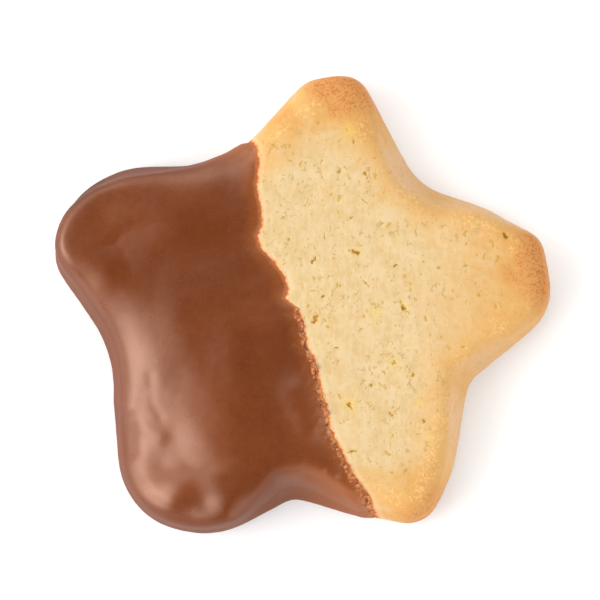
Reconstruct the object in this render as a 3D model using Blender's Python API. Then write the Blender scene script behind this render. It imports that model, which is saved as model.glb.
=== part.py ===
"""A thick five-armed butter biscuit, its left half dipped in milk chocolate.

Units are metres and +Z is up. The biscuit lies flat with its star face up. +X runs from the
dipped arms to the bare ones and +Y along the top arm. The origin is under the middle of the
whole piece, on the surface that it lies on.

Two solids are made: the whole biscuit, and the chocolate coat, which wraps the dipped half above,
below and all round, and is open where the dip ends.
"""

import math

import bmesh
import bpy
from mathutils import Vector

# All sizes below are in millimetres; each finished mesh is scaled to metres once.
MM = 0.001

# The biscuit's foot outline, clockwise from the top arm: the sharp corner's X and Y, the radius
# that rounds it, and how far the wall leans in between its foot and its shoulder there.
CORNERS = (
    ("top arm, left corner", 0.6, 27.9, 6.0, 0.5),
    ("top arm, right corner", 7.1, 28.7, 3.5, 0.5),
    ("upper right notch", 14.6, 14.8, 8.0, 2.4),
    ("right arm, upper side", 23.3, 11.9, 20.0, 1.2),
    ("right arm, upper corner", 30.0, 8.0, 3.0, 0.5),
    ("right arm, lower corner", 31.4, -0.7, 6.0, 0.5),
    ("lower right notch", 20.8, -9.8, 3.0, 2.2),
    ("lower right arm, right side", 18.9, -20.5, 12.0, 1.0),
    ("lower right arm, tip", 15.5, -27.7, 4.0, 0.5),
    ("lower right arm, lower side", 9.0, -26.6, 12.0, 1.4),
    ("bottom notch", -1.2, -22.8, 3.7, 3.4),
    ("lower left arm, tip", -20.6, -32.7, 9.5, 0.8),
    ("left notch", -22.7, -5.1, 17.0, 1.0),
    ("upper left arm, lower corner", -30.0, 5.3, 3.5, 1.0),
    ("upper left arm, upper corner", -29.1, 15.3, 9.8, 0.8),
    ("top left notch", -9.9, 16.2, 17.0, 0.5),
)
STAR_CENTRE = Vector((-1.0, -1.5))
ARM_REACH = 33.0

BISCUIT_THICKNESS = 8.8
TIP_DROP = 1.1
FOOT_ROUNDING = 0.8
SHOULDER_ROUNDING = 1.7

COAT_THICKNESS = 0.9
COAT_BASE_THICKNESS = 0.6
FIT_GAP = 0.3

# Where the chocolate ends, from past the top edge to past the bottom edge.
DIP_LINE = (
    (-9.0, 27.0),
    (-5.3, 20.5),
    (-5.5, 10.0),
    (-3.4, 4.4),
    (0.2, -3.8),
    (3.4, -14.8),
    (7.2, -23.0),
    (9.6, -26.6),
    (8.8, -31.5),
)
DIP_LINE_STEPS = 5
DIP_BLOCK_REACH = 40.0

ARC_STEP = math.radians(10.0)
STRAIGHT_STEP = 4.0
FOOT_STEPS = 3
WALL_STEPS = 3
SHOULDER_STEPS = 4
TOP_RING_SCALES = (0.88, 0.72, 0.54, 0.34, 0.14)
SHARP_ANGLE = math.radians(40.0)


def smooth_step(t):
    """Ease from 0 to 1 with a level start and end."""
    return t * t * (3.0 - 2.0 * t)


def round_corner(before, corner, after, radius):
    """Return an arc in place of a corner, as (point, outward normal) pairs."""
    arrive = (corner - before).normalized()
    leave = (after - corner).normalized()
    turn = arrive.angle_signed(leave)
    setback = radius * math.tan(abs(turn) / 2.0)
    start = corner - arrive * setback
    # The outline runs clockwise, so the outside is on the left of the way along it.
    outward = Vector((-arrive.y, arrive.x))
    bulge = 1.0 if turn > 0.0 else -1.0
    centre = start - outward * radius * bulge
    steps = max(3, math.ceil(abs(turn) / ARC_STEP))
    arc = []
    for step in range(steps + 1):
        # mathutils measures a clockwise turn as positive.
        angle = -turn * step / steps
        normal = Vector(
            (
                outward.x * math.cos(angle) - outward.y * math.sin(angle),
                outward.x * math.sin(angle) + outward.y * math.cos(angle),
            )
        )
        arc.append((centre + normal * radius * bulge, normal))
    return arc


def star_outline():
    """Return the rounded foot outline as (point, outward normal, wall lean) triples."""
    outline = []
    count = len(CORNERS)
    for index in range(count):
        corner = Vector(CORNERS[index][1:3])
        before = Vector(CORNERS[index - 1][1:3])
        after = Vector(CORNERS[(index + 1) % count][1:3])
        lean = CORNERS[index][4]
        next_lean = CORNERS[(index + 1) % count][4]
        arc = round_corner(before, corner, after, CORNERS[index][3])
        outline += [(point, normal, lean) for point, normal in arc]

        following = Vector(CORNERS[(index + 2) % count][1:3])
        next_radius = CORNERS[(index + 1) % count][3]
        next_start = round_corner(corner, after, following, next_radius)[0][0]
        start, normal = arc[-1]
        run = next_start - start
        steps = max(1, math.ceil(run.length / STRAIGHT_STEP))
        for step in range(1, steps):
            t = step / steps
            side_lean = lean + (next_lean - lean) * smooth_step(t)
            outline.append((start + run * t, normal, side_lean))
    return outline


def top_height(point):
    """Return the height of the biscuit's gently domed top above its own foot."""
    out = (point - STAR_CENTRE).length / ARM_REACH
    return BISCUIT_THICKNESS - TIP_DROP * out * out


def wall_profile(lean, top, swell, sink):
    """Return (inset from the foot outline, height) steps from the flat foot to the top's edge.

    The biscuit itself has no swell and no sink. A swollen body lies outside it: its wall and top
    by the swell, and its underside by the sink.
    """
    steps = []
    foot_out = FOOT_ROUNDING + swell
    foot_up = FOOT_ROUNDING + sink
    for step in range(FOOT_STEPS + 1):
        angle = math.pi / 2.0 * step / FOOT_STEPS
        steps.append((FOOT_ROUNDING - foot_out * math.sin(angle), foot_up * (1.0 - math.cos(angle)) - sink))

    shoulder = SHOULDER_ROUNDING + swell
    wall_top = top + swell - shoulder
    for step in range(1, WALL_STEPS):
        t = step / WALL_STEPS
        steps.append((lean * t - swell, FOOT_ROUNDING + (wall_top - FOOT_ROUNDING) * t))

    for step in range(SHOULDER_STEPS + 1):
        angle = math.pi / 2.0 * step / SHOULDER_STEPS
        inset = lean - swell + shoulder * (1.0 - math.cos(angle))
        steps.append((inset, wall_top + shoulder * math.sin(angle)))
    return steps


def star_body(name, swell, sink):
    """Make the star as one closed mesh object, its foot outline pushed out by the swell."""
    outline = star_outline()
    lift = COAT_BASE_THICKNESS + FIT_GAP
    profiles = [wall_profile(lean, top_height(point), swell, sink) for point, normal, lean in outline]

    rings = []
    for level in range(len(profiles[0])):
        ring = []
        for (point, normal, lean), profile in zip(outline, profiles):
            inset, height = profile[level]
            place = point - normal * inset
            ring.append(Vector((place.x, place.y, height + lift)))
        rings.append(ring)

    edge = rings[-1]
    for scale in TOP_RING_SCALES:
        ring = []
        for corner in edge:
            place = STAR_CENTRE + (corner.xy - STAR_CENTRE) * scale
            ring.append(Vector((place.x, place.y, top_height(place) + swell + lift)))
        rings.append(ring)

    body = bmesh.new()
    made = bmesh.ops.create_circle(body, cap_ends=False, segments=len(outline), radius=1.0)
    loop = made["verts"]
    foot = list(loop)
    for corner, place in zip(loop, rings[0]):
        corner.co = place
    for ring in rings[1:]:
        edges = loop_edges(loop)
        extruded = bmesh.ops.extrude_edge_only(body, edges=edges)
        new_corners = [item for item in extruded["geom"] if isinstance(item, bmesh.types.BMVert)]
        loop = matching_corners(loop, new_corners)
        for corner, place in zip(loop, ring):
            corner.co = place
    bmesh.ops.contextual_create(body, geom=loop_edges(foot))
    bmesh.ops.contextual_create(body, geom=loop_edges(loop))
    bmesh.ops.triangulate(body, faces=[face for face in body.faces if len(face.verts) > 4])
    bmesh.ops.recalc_face_normals(body, faces=body.faces)
    bmesh.ops.scale(body, vec=(MM, MM, MM), verts=body.verts)
    return finished_object(name, body)


def loop_edges(corners):
    """Return the edges that join each corner of a closed loop to the next."""
    edges = []
    for index, corner in enumerate(corners):
        after = corners[(index + 1) % len(corners)]
        edges += [edge for edge in corner.link_edges if edge.other_vert(corner) is after]
    return edges


def matching_corners(loop, new_corners):
    """Return the extruded corners in the order of the loop that they came from."""
    fresh = set(new_corners)
    ordered = []
    for corner in loop:
        above = [edge.other_vert(corner) for edge in corner.link_edges if edge.other_vert(corner) in fresh]
        ordered.append(above[0])
    return ordered


def smooth_curve(points, steps):
    """Return points along a smooth curve that passes through the given ones."""
    knots = [Vector(point) for point in points]
    first = knots[0] * 2.0 - knots[1]
    last = knots[-1] * 2.0 - knots[-2]
    knots = [first] + knots + [last]
    curve = []
    for index in range(1, len(knots) - 2):
        before, start, end, after = knots[index - 1 : index + 3]
        for step in range(steps):
            t = step / steps
            curve.append(
                0.5
                * (
                    2.0 * start
                    + (end - before) * t
                    + (2.0 * before - 5.0 * start + 4.0 * end - after) * t**2
                    + (3.0 * start - before - 3.0 * end + after) * t**3
                )
            )
    curve.append(knots[-2])
    return curve


def dip_block():
    """Make the block that the dipped half lies in, its right side following the dip line."""
    reach = DIP_BLOCK_REACH
    corners = [Vector((-reach, reach)), Vector((DIP_LINE[0][0], reach))]
    corners += smooth_curve(DIP_LINE, DIP_LINE_STEPS)
    corners += [Vector((DIP_LINE[-1][0], -reach)), Vector((-reach, -reach))]
    block = bmesh.new()
    made = bmesh.ops.create_circle(block, cap_ends=True, segments=len(corners), radius=1.0)
    for corner, place in zip(made["verts"], corners):
        corner.co = (place.x, place.y, -reach / 4.0)
    extruded = bmesh.ops.extrude_face_region(block, geom=list(block.faces))
    top = [item for item in extruded["geom"] if isinstance(item, bmesh.types.BMVert)]
    bmesh.ops.translate(block, vec=(0.0, 0.0, reach), verts=top)
    bmesh.ops.recalc_face_normals(block, faces=block.faces)
    bmesh.ops.scale(block, vec=(MM, MM, MM), verts=block.verts)
    return finished_object("dip_block", block)


def finished_object(name, body):
    """Turn a bmesh into an object in the scene, shaded smooth with its real edges kept sharp."""
    mesh = bpy.data.meshes.new(name)
    body.to_mesh(mesh)
    body.free()
    mesh.shade_smooth()
    mesh.set_sharp_from_angle(angle=SHARP_ANGLE)
    made = bpy.data.objects.new(name, mesh)
    bpy.context.scene.collection.objects.link(made)
    return made


def food_material(name, colour, roughness):
    """Make a plain food material of one colour."""
    material = bpy.data.materials.new(name)
    material.use_nodes = True
    shader = material.node_tree.nodes["Principled BSDF"]
    shader.inputs["Base Color"].default_value = (*colour, 1.0)
    shader.inputs["Roughness"].default_value = roughness
    shader.inputs["Metallic"].default_value = 0.0
    material.diffuse_color = (*colour, 1.0)
    return material


def use_as_cutter(target, cutter, operation):
    """Apply a Boolean with a cutter that stays out of the model."""
    cutter.hide_render = True
    cutter.display_type = "WIRE"
    cut = target.modifiers.new(operation.title(), "BOOLEAN")
    cut.operation = operation
    cut.solver = "EXACT"
    cut.object = cutter


def biscuit():
    """Make the whole biscuit, which runs on inside the chocolate."""
    made = star_body("biscuit", 0.0, 0.0)
    made.data.materials.append(food_material("biscuit", (0.81, 0.60, 0.30), 0.8))
    return made


def chocolate_coat():
    """Make the coat: the swollen star, kept only in the dip block and hollowed by the biscuit."""
    made = star_body("chocolate_coat", FIT_GAP + COAT_THICKNESS, FIT_GAP + COAT_BASE_THICKNESS)
    hollow = star_body("coat_hollow", FIT_GAP, FIT_GAP)
    use_as_cutter(made, dip_block(), "INTERSECT")
    use_as_cutter(made, hollow, "DIFFERENCE")
    made.data.materials.append(food_material("chocolate", (0.20, 0.055, 0.02), 0.35))
    return made


def main():
    """Empty the scene and build the dipped biscuit."""
    for old in list(bpy.data.objects):
        bpy.data.objects.remove(old, do_unlink=True)
    biscuit()
    chocolate_coat()


main()
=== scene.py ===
# %% [markdown]
# # A star biscuit, half dipped in milk chocolate
#
# The real thing is two foods in one: a thick butter biscuit, baked until its arm ends brown, and a
# coat of chocolate that set while it was still running. The frame below gives both at their real
# size. This lesson grows the finished surfaces out of it: the pores and crust of the biscuit, the
# folds and the ragged lip of the chocolate, and the crumbs that stick where the dip ends.

# %% Load the fixed frame
import math

import bmesh
import bpy
import numpy as np
from mathutils import Matrix, Vector, kdtree, noise


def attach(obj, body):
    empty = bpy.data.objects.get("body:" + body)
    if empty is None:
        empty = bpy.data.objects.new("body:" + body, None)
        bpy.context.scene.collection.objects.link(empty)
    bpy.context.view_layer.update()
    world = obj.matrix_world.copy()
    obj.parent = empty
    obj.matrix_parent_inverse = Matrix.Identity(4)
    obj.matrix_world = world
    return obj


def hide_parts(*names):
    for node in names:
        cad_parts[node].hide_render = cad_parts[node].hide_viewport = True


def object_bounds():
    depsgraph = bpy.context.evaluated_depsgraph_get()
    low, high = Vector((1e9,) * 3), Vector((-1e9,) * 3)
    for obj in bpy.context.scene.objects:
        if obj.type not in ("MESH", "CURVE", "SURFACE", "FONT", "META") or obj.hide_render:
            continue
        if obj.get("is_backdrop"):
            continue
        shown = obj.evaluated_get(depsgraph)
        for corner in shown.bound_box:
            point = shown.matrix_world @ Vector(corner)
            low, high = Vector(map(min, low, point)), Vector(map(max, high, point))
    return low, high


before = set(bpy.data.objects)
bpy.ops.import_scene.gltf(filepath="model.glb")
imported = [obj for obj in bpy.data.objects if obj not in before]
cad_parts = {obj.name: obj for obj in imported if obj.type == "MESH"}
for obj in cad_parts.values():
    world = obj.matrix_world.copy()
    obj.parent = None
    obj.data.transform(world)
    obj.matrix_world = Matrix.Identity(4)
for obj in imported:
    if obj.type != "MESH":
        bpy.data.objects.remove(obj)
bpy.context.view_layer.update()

MM = 0.001

# %% [markdown]
# ## Where the dip ends
#
# The biscuit went into the chocolate on its side, so the chocolate ends on a nearly straight line
# that wanders a little. The line is a short list of points in plan, read at any Y. `line_side` turns
# it into a signed distance that later steps can use: positive on bare biscuit, negative under
# chocolate. `bare_side` is the same with the fine raggedness that the porous crust gives the lip.

# %% The dip line
DIP_LINE = (
    (-11.0, 28.0),
    (-7.2, 20.8),
    (-5.6, 19.2),
    (-5.3, 17.1),
    (-5.6, 14.2),
    (-5.0, 11.2),
    (-5.0, 9.2),
    (-5.5, 8.0),
    (-5.2, 6.6),
    (-3.7, 5.1),
    (-2.2, 3.1),
    (-1.7, 1.6),
    (-2.1, 0.3),
    (-0.6, -0.8),
    (0.2, -2.9),
    (0.6, -5.6),
    (1.5, -7.1),
    (2.1, -9.8),
    (3.2, -13.9),
    (3.4, -15.4),
    (4.4, -17.7),
    (6.1, -21.0),
    (8.6, -24.9),
    (9.8, -27.0),
    (9.4, -31.0),
)
DIP_STEPS = 400
DIP_LEAN_OVER = 25
# Noise is given as the size of its bumps in mm, its amount and its seed, and sometimes its octaves.
DIP_RAGGED = (0.27, 0.10, 42)
RAGGED_WITHIN = 3.0
LEAST_RAGGED = 0.45
CRUMBLY_BELOW = 1.0
CRUMBLY_FADE = 5.0
SEED_SHIFT = Vector((7.13, 3.71, 5.37))


def wander(places, size, amount, seed, octaves=2):
    """Return smooth noise at each place, up to about the amount either way."""
    shift = SEED_SHIFT * seed
    spots = [Vector(place) / size + shift for place in places]
    return amount * np.array([noise.fractal(spot, 1.0, 2.0, octaves) for spot in spots])


def ease(values):
    """Ease values from 0 to 1 with level ends, and hold them beyond."""
    held = np.clip(values, 0.0, 1.0)
    return held * held * (3.0 - 2.0 * held)


def crumbly(places):
    """Return 1 where the lip is torn and crumbly and 0 where it is smooth."""
    return ease((CRUMBLY_BELOW - places[:, 1]) / CRUMBLY_FADE)


def averaged(row, count):
    """Return a row of numbers with each replaced by the average of count numbers around it."""
    return np.convolve(np.pad(row, count // 2, mode="edge"), np.ones(count) / count, "valid")


def line_side(places, even_over=1):
    """Return the distance in mm from the even dip line, positive on the bare side.

    The line is read in DIP_STEPS steps, and even_over says how many of them are averaged.
    """
    line = np.array(DIP_LINE)[::-1]
    heights = np.linspace(line[0, 1], line[-1, 1], DIP_STEPS)
    across = averaged(np.interp(heights, line[:, 1], line[:, 0]), even_over)
    slope = np.gradient(averaged(across, DIP_LEAN_OVER), heights)
    distance = places[:, 0] - np.interp(places[:, 1], heights, across)
    return distance / np.sqrt(1.0 + np.interp(places[:, 1], heights, slope) ** 2)


def bare_side(places):
    """Return the distance in mm from the ragged dip line, positive on the bare side."""
    distance = line_side(places)
    near = np.abs(distance) < RAGGED_WITHIN
    calm = LEAST_RAGGED + (1.0 - LEAST_RAGGED) * crumbly(places[near])
    distance[near] += calm * wander(places[near], *DIP_RAGGED)
    return distance


# %% [markdown]
# ## Reading and shaping a mesh as rows of numbers
#
# Displacing a hundred thousand points one by one in Python is slow, so the points are read into
# arrays of places (in mm) and outward directions, changed all at once, and written back.

# %% Helpers for fields on a mesh
def layout(mesh):
    """Return a mesh's places in mm and its outward directions, one row for each point."""
    count = len(mesh.vertices)
    places = np.empty(count * 3, np.float32)
    outward = np.empty(count * 3, np.float32)
    mesh.vertices.foreach_get("co", places)
    mesh.vertices.foreach_get("normal", outward)
    return places.reshape(-1, 3).astype(float) / MM, outward.reshape(-1, 3).astype(float)


def write_places(mesh, places):
    """Move a mesh's points to the given places in mm."""
    mesh.vertices.foreach_set("co", (places * MM).astype(np.float32).ravel())
    mesh.update()


def write_fields(mesh, **fields):
    """Store one number for each point under each name, for the material to read."""
    for name, values in fields.items():
        field = mesh.attributes.new(name, "FLOAT", "POINT")
        field.data.foreach_set("value", values.astype(np.float32))


def shape_of(mesh):
    """Return a mesh's points and faces as a shape that can be cut."""
    shape = bmesh.new()
    shape.from_mesh(mesh)
    shape.verts.ensure_lookup_table()
    return shape


def mesh_of(shape, name):
    """Return a new mesh that holds a shape, and free the shape."""
    mesh = bpy.data.meshes.new(name)
    shape.to_mesh(mesh)
    shape.free()
    return mesh


def finer_where(mesh, wanted):
    """Cut each square whose points are all wanted into four."""
    shape = shape_of(mesh)
    edges = set()
    for face in shape.faces:
        if all(wanted[corner.index] for corner in face.verts):
            edges.update(face.edges)
    bmesh.ops.subdivide_edges(shape, edges=list(edges), cuts=1, use_grid_fill=True)
    shape.to_mesh(mesh)
    shape.free()


# %% [markdown]
# ## An even skin to work on
#
# The frame's biscuit is made of long flat strips, which is right for measuring but wrong for
# sculpting: a pore needs points where it lies. A voxel remesh lays an even net of small squares
# over any closed shape, and rounds of smoothing melt the old edges away. Both foods start from
# this one skin, so that the chocolate follows the biscuit exactly.
#
# Between the two steps the skin slumps: every point sinks by an amount that grows towards the
# outline. Dough slumps a little as it bakes. On its left side the chocolate ran, and its slopes are
# many millimetres wide, which is what makes them look molten. Elsewhere it stood up to a crisp
# shoulder. The left slope is given as sections, each a list of how steep the top is at some
# distances from its edge; two smaller slopes follow routes; and the narrow roll goes by the outline.

# %% How the top rolls over into the walls
BARE_ROLL = (3.2, 0.8, 1.0, 0.0, 0.15)
COATED_ROLL = (2.4, 0.6, 1.2, 0.0, 0.3)

# A place on the outline and its reach; the width of the roll, the drop at the outline, how crisp
# the shoulder is (1 is round), how far the wall leans back and how far it bulges. All in mm but
# crispness.
COATED_STRETCHES = (
    (-13.5, 18.0, 3.5, 3.0, 0.5, 1.8, 0.3, 0.32),
    (-8.5, 18.5, 4.0, 3.0, 0.5, 1.0, 0.0, 0.40),
    (-19.5, 17.8, 4.0, 4.2, 0.55, 3.2, 0.9, 0.50),
    (-26.0, 15.0, 3.6, 3.0, 0.3, 3.0, 0.5, -0.15),
    (-30.0, 9.0, 5.0, 2.0, 0.02, 3.6, -0.60, -0.30),
    (-28.5, 2.5, 3.5, 2.2, 0.2, 1.1, 0.0, 0.0),
    (-24.5, -5.0, 5.0, 2.2, 0.25, 1.0, 0.0, -0.1),
    (-22.8, -16.0, 6.0, 2.2, 0.25, 1.0, 0.0, 0.15),
    (-20.5, -25.0, 4.0, 2.6, 0.4, 1.0, 0.0, 0.50),
    (-13.0, -28.5, 4.5, 2.6, 0.3, 1.9, 0.0, 0.30),
    (-7.0, -26.5, 3.0, 2.6, 0.5, 1.6, 0.0, 0.40),
    (-2.5, -23.0, 3.0, 1.6, 0.1, 3.0, 0.0, 0.55),
    (3.0, -23.5, 3.0, 2.0, 0.2, 2.2, 0.0, 0.40),
)
REST_OF_OUTLINE = 0.02
ROLL_POWER = 2.3
ROLL_BLEND = 3.0

# Sections of the left slope: the place in Y and its edge in X, in mm, then how steep the top is, as
# height over run, at each of these distances from the edge.
SECTION_REACH = (0.0, 2.0, 4.0, 6.0, 8.0, 10.0, 12.0, 15.0, 19.0)
SECTIONS = (
    (13.6, -28.5, 0.12, 0.12, 0.10, 0.08, 0.06, 0.05, 0.03, 0.01, 0.00),
    (10.6, -30.2, 0.11, 0.11, 0.10, 0.10, 0.08, 0.06, 0.04, 0.01, 0.00),
    (7.6, -31.0, 0.12, 0.11, 0.10, 0.09, 0.08, 0.07, 0.05, 0.01, 0.00),
    (5.6, -31.0, 0.18, 0.14, 0.10, 0.09, 0.08, 0.07, 0.05, 0.01, 0.00),
    (4.6, -30.9, 0.22, 0.20, 0.13, 0.10, 0.09, 0.08, 0.05, 0.01, 0.00),
    (3.1, -30.3, 0.26, 0.28, 0.22, 0.17, 0.13, 0.09, 0.06, 0.01, 0.00),
    (1.6, -29.0, 0.32, 0.36, 0.28, 0.20, 0.13, 0.09, 0.06, 0.02, 0.00),
    (0.1, -27.9, 0.36, 0.38, 0.28, 0.22, 0.15, 0.08, 0.04, 0.02, 0.00),
    (-1.4, -26.8, 0.42, 0.36, 0.30, 0.25, 0.17, 0.09, 0.07, 0.04, 0.00),
    (-3.4, -25.5, 0.50, 0.42, 0.33, 0.25, 0.17, 0.12, 0.11, 0.06, 0.02),
    (-5.4, -24.5, 0.44, 0.42, 0.36, 0.29, 0.20, 0.12, 0.12, 0.06, 0.00),
    (-8.4, -23.7, 0.38, 0.35, 0.33, 0.28, 0.21, 0.14, 0.10, 0.04, 0.00),
    (-11.4, -23.7, 0.36, 0.32, 0.28, 0.26, 0.24, 0.19, 0.12, 0.05, 0.00),
    (-14.4, -23.5, 0.36, 0.29, 0.29, 0.27, 0.29, 0.27, 0.16, 0.04, 0.02),
    (-17.4, -23.0, 0.36, 0.28, 0.32, 0.34, 0.32, 0.26, 0.14, 0.05, 0.03),
    (-20.4, -22.8, 0.35, 0.27, 0.27, 0.27, 0.28, 0.28, 0.19, 0.07, 0.03),
    (-22.4, -22.4, 0.33, 0.29, 0.30, 0.27, 0.21, 0.15, 0.10, 0.05, 0.01),
    (-24.4, -21.4, 0.29, 0.18, 0.12, 0.12, 0.12, 0.11, 0.09, 0.04, 0.00),
    (-27.4, -19.0, 0.24, 0.11, 0.07, 0.06, 0.05, 0.04, 0.02, 0.00, 0.00),
)
SECTION_STEP = 0.25
SECTION_BLUR = 9
SECTION_END = (1.0, 3.0)

# Routes round the lower left arm's end and along the upper left rim: places, each with its drop
# and its width in mm.
SLOPES = (
    (
        (-22.5, -21.0, 0.2, 4.0),
        (-19.5, -25.5, 1.0, 4.5),
        (-13.0, -28.2, 0.9, 3.2),
        (-8.5, -27.4, 0.8, 3.5),
        (-5.5, -25.5, 0.3, 2.5),
    ),
    (
        (-28.0, 12.0, 0.1, 4.0),
        (-24.0, 15.2, 0.8, 7.5),
        (-19.5, 17.0, 0.9, 8.5),
        (-16.5, 17.4, 0.9, 8.5),
        (-12.5, 18.0, 1.0, 8.5),
        (-9.0, 18.8, 1.6, 9.0),
        (-6.0, 21.0, 1.0, 6.5),
        (-5.0, 23.0, 0.2, 4.0),
    ),
)
STEEPER_WINS = 4.0
SLOPE_BLEND = 4.0
SLOPE_UNEVEN = (7.0, 0.10, 30)
OUTLINE_HEIGHT = 1.9
OUTLINE_BAND = 0.3
WALL_FACING = 0.85
WALL_FADE = 0.45


def new_piece(name, mesh):
    """Put a mesh in the scene as an object that sits at the origin."""
    piece = bpy.data.objects.new(name, mesh)
    bpy.context.scene.collection.objects.link(piece)
    return piece


def settled_mesh(piece):
    """Return the mesh that an object's modifiers make, and remove the object."""
    shown = piece.evaluated_get(bpy.context.evaluated_depsgraph_get())
    mesh = bpy.data.meshes.new_from_object(shown)
    bpy.data.objects.remove(piece)
    return mesh


def outline_finder(mesh):
    """Return a search tree of the places, in plan, where the walls stand."""
    places, outward = layout(mesh)
    level = np.abs(places[:, 2] - OUTLINE_HEIGHT) < OUTLINE_BAND
    wall = places[level & (np.abs(outward[:, 2]) < WALL_FACING)]
    finder = kdtree.KDTree(len(wall))
    for number, (x, y, _) in enumerate(wall):
        finder.insert((x, y, 0.0), number)
    finder.balance()
    return finder


def from_outline(places):
    """Return the distance in mm, in plan, from each place to the outline."""
    return np.array([outline.find((x, y, 0.0))[2] for x, y, _ in places])


def roll_at(places):
    """Return the roll's width, drop, crispness, lean and bulge around each place."""
    total = np.full(len(places), REST_OF_OUTLINE)
    mix = total[:, None] * np.array(COATED_ROLL)
    for x, y, reach, *roll in COATED_STRETCHES:
        share = np.exp(-((np.hypot(places[:, 0] - x, places[:, 1] - y) / reach) ** 2))
        total += share
        mix += share[:, None] * np.array(roll)
    coated = ease(-line_side(places) / ROLL_BLEND + 0.5)[:, None]
    return (np.array(BARE_ROLL) * (1.0 - coated) + mix / total[:, None] * coated).T


def section_grid():
    """Return heights in Y, the edge in X at each, and rows of how far the top sinks, inwards."""
    rows = np.array(SECTIONS)[::-1]
    heights = np.arange(rows[0, 0], rows[-1, 0], SECTION_STEP)
    rows = np.array([np.interp(heights, rows[:, 0], column) for column in rows.T[1:]])
    rows = np.array([averaged(averaged(row, SECTION_BLUR), SECTION_BLUR) for row in rows])
    reach = np.arange(0.0, SECTION_REACH[-1], SECTION_STEP)
    steep = np.array([np.interp(reach, SECTION_REACH, column) for column in rows[1:].T])
    sunk = np.cumsum(steep[:, ::-1], axis=1)[:, ::-1] * SECTION_STEP
    return heights, rows[0], sunk


def left_slope(places):
    """Return how far the left slope lowers each place, in mm."""
    heights, edge, sunk = section_grid()
    away = places[:, 0] - np.interp(places[:, 1], heights, edge)
    # Stop just short of the last row and column, because each is mixed with the next.
    last_row, last_column = np.array(sunk.shape) - 1.001
    row = np.clip((places[:, 1] - heights[0]) / SECTION_STEP, 0.0, last_row)
    column = np.clip(away / SECTION_STEP, 0.0, last_column)
    i, j = row.astype(int), column.astype(int)
    v, u = row - i, column - j
    low = sunk[i, j] * (1.0 - u) + sunk[i, j + 1] * u
    high = sunk[i + 1, j] * (1.0 - u) + sunk[i + 1, j + 1] * u
    past, fade = SECTION_END
    return (low * (1.0 - v) + high * v) * ease((heights[-1] + past - places[:, 1]) / fade)


def wide_slope(places):
    """Return how far the wide slopes lower each place, in mm."""
    drop = left_slope(places)
    total = 1e-9 + drop**STEEPER_WINS
    mix = drop ** (STEEPER_WINS + 1.0)
    for route in SLOPES:
        for start, end in zip(route[:-1], route[1:]):
            start, run = np.array(start), np.array(end) - np.array(start)
            t = np.clip((places[:, :2] - start[:2]) @ run[:2] / (run[:2] @ run[:2]), 0.0, 1.0)
            here = start + t[:, None] * run
            away = np.linalg.norm(places[:, :2] - here[:, :2], axis=1)
            drop = here[:, 2] * (1.0 - np.clip(away / here[:, 3], 0.0, 1.0)) ** 2
            mix += drop ** (STEEPER_WINS + 1.0)
            total += drop**STEEPER_WINS
    return mix / total * ease(-line_side(places) / SLOPE_BLEND)


def slump(places):
    """Return how far each place sinks, in mm."""
    width, drop, _, _, _ = roll_at(places)
    sunk = drop * (1.0 - np.clip(from_outline(places) / width, 0.0, 1.0)) ** ROLL_POWER
    sunk += wide_slope(places) * (1.0 + wander(places, *SLOPE_UNEVEN))
    return sunk * places[:, 2] / places[:, 2].max()


# %% The even skin
NET_SIZE = 0.28
WELD_WITHIN = 0.005
SMOOTHING_ROUNDS = 36


def even_net(node):
    """Return a CAD node's outside as a mesh of small even squares."""
    shape = shape_of(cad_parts[node].data)
    bmesh.ops.remove_doubles(shape, verts=shape.verts, dist=WELD_WITHIN * MM)
    draft = new_piece("draft", mesh_of(shape, "draft"))
    net = draft.modifiers.new("Net", "REMESH")
    net.mode = "VOXEL"
    net.voxel_size = NET_SIZE * MM
    return settled_mesh(draft)


def smoothed(mesh, rounds):
    """Return a copy of a mesh with its points moved towards their neighbours."""
    shape = shape_of(mesh)
    axes = {"use_axis_x": True, "use_axis_y": True, "use_axis_z": True}
    for _ in range(rounds):
        bmesh.ops.smooth_vert(shape, verts=shape.verts, factor=0.5, **axes)
    return mesh_of(shape, "skin")


net = even_net("biscuit")
outline = outline_finder(net)
places, outward = layout(net)
places[:, 2] -= slump(places)
write_places(net, places)
skin = smoothed(net, SMOOTHING_ROUNDS)
print("squares in the skin:", len(skin.polygons))

# %% [markdown]
# ## Unevenness that both foods share
#
# Dough is cut flat but bakes into low swells. The chocolate lies on those swells, so both pieces
# read them from one function. The underside stays flat, because it lay on the tray.

# %% Low swells
SWELL_WIDE = (8.0, 0.14, 1)
SWELL_SMALL = (2.6, 0.06, 2)
SWELL_FADE = 3.0


def off_the_tray(outward):
    """Return 1 on the top and walls and 0 on the flat underside."""
    return 1.0 - ease(-outward[:, 2] * 3.0)


def upstanding(outward):
    """Return 1 on the walls and 0 on anything level."""
    return ease((WALL_FACING - np.abs(outward[:, 2])) / WALL_FADE)


def swell(places, outward):
    """Return how far the baked dough stands out from its even shape, in mm."""
    height = wander(places, *SWELL_WIDE)
    height += wander(places, *SWELL_SMALL) * ease(line_side(places) / SWELL_FADE + 1.0)
    return height * off_the_tray(outward)


# %% [markdown]
# ## The biscuit's body
#
# Only the bare top shows at reading distance, so it alone gets the finest net. The half inside the
# chocolate keeps its shape but few of its points.

# %% A finer net on the bare top, a thin one inside the chocolate
FINE_FACING = 0.45
FINE_FROM = -1.2
HIDDEN_DEPTH = 2.2
HIDDEN_SHARE = 0.06

biscuit_mesh = skin.copy()
biscuit_mesh.name = "biscuit_body"
places, outward = layout(biscuit_mesh)
bare_top = (outward[:, 2] > FINE_FACING) & (line_side(places) > FINE_FROM)
finer_where(biscuit_mesh, bare_top)


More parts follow.
